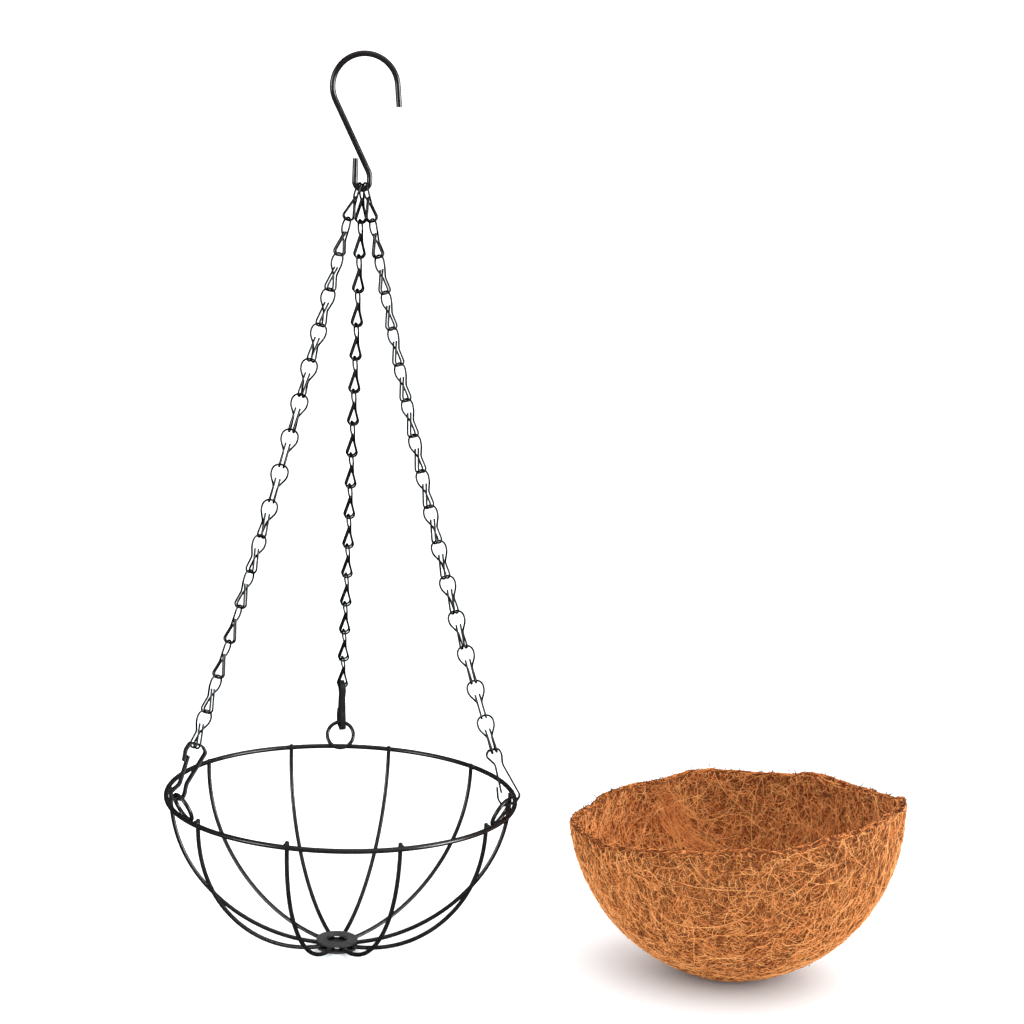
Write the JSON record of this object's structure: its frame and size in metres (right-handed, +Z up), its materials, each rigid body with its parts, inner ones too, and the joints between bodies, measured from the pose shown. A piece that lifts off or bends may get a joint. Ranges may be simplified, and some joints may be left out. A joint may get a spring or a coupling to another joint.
{
  "type": "hanging basket",
  "caption": "Round wire hanging basket on three link chains with snap clips and an S-hook, and a loose coir liner beside it.",
  "frame": {"origin": "bearing point inside the top of the S-hook's upper bow, where it hangs on its bracket", "axes": "+Z up along the basket's axis, X across the opening of the S-hook and along one pair of ribs, +Y towards the rear chain"},
  "size_m": [0.527, 0.2776, 0.6401],
  "materials": {
    "coated_wire": "black semi-gloss coated wire",
    "washer_coating": "black semi-gloss coated plate",
    "hook_rod": "black semi-gloss coated rod",
    "chain_wire": "black painted bent wire, lightly rubbed at the bends",
    "clip_strip": "dark grey flat spring strip, satin",
    "coir": "rough orange-brown coconut fibre felt"
  },
  "bodies": {
    "s_hook": {"s_hook": "hook_rod"},
    "basket": {"rim": "coated_wire", "ribs": "coated_wire", "eye_ring_left": "coated_wire", "eye_ring_right": "coated_wire", "eye_ring_rear": "coated_wire", "hub_washer_lower": "washer_coating", "hub_washer_upper": "washer_coating", "rear_link_01": "chain_wire", "rear_link_02": "chain_wire", "rear_link_03": "chain_wire", "rear_link_04": "chain_wire", "rear_link_05": "chain_wire", "rear_link_06": "chain_wire", "rear_link_07": "chain_wire", "rear_link_08": "chain_wire", "rear_link_09": "chain_wire", "rear_link_10": "chain_wire", "rear_link_11": "chain_wire", "rear_link_12": "chain_wire", "rear_link_13": "chain_wire", "rear_link_14": "chain_wire", "rear_link_15": "chain_wire", "rear_link_16": "chain_wire", "rear_clip": "clip_strip"},
    "left_chain": {"left_link_01": "chain_wire", "left_link_02": "chain_wire", "left_link_03": "chain_wire", "left_link_04": "chain_wire", "left_link_05": "chain_wire", "left_link_06": "chain_wire", "left_link_07": "chain_wire", "left_link_08": "chain_wire", "left_link_09": "chain_wire", "left_link_10": "chain_wire", "left_link_11": "chain_wire", "left_link_12": "chain_wire", "left_link_13": "chain_wire", "left_link_14": "chain_wire", "left_link_15": "chain_wire", "left_link_16": "chain_wire", "left_clip": "clip_strip"},
    "right_chain": {"right_link_01": "chain_wire", "right_link_02": "chain_wire", "right_link_03": "chain_wire", "right_link_04": "chain_wire", "right_link_05": "chain_wire", "right_link_06": "chain_wire", "right_link_07": "chain_wire", "right_link_08": "chain_wire", "right_link_09": "chain_wire", "right_link_10": "chain_wire", "right_link_11": "chain_wire", "right_link_12": "chain_wire", "right_link_13": "chain_wire", "right_link_14": "chain_wire", "right_link_15": "chain_wire", "right_link_16": "chain_wire", "right_clip": "clip_strip"},
    "liner": {"coir_liner": "coir"}
  },
  "joints": [
    {"name": "basket_swing", "type": "hinge", "parent": "s_hook", "child": "basket", "pos_m": [0, 0, -0.0892], "axis": [1, 0, 0], "range_deg": [-9, 9]},
    {"name": "left_chain_swing", "type": "hinge", "parent": "basket", "child": "left_chain", "pos_m": [-0.00164, 0, -0.08505], "axis": [-0.5, 0.866, 0], "range_deg": [0, 15]},
    {"name": "right_chain_swing", "type": "hinge", "parent": "basket", "child": "right_chain", "pos_m": [0.00164, 0, -0.08505], "axis": [-0.5, -0.866, 0], "range_deg": [0, 15]},
    {"name": "liner_lift", "type": "slide", "parent": "s_hook", "child": "liner", "axis": [0, 0, 1], "range_m": [0, 0.2]}
  ]
}
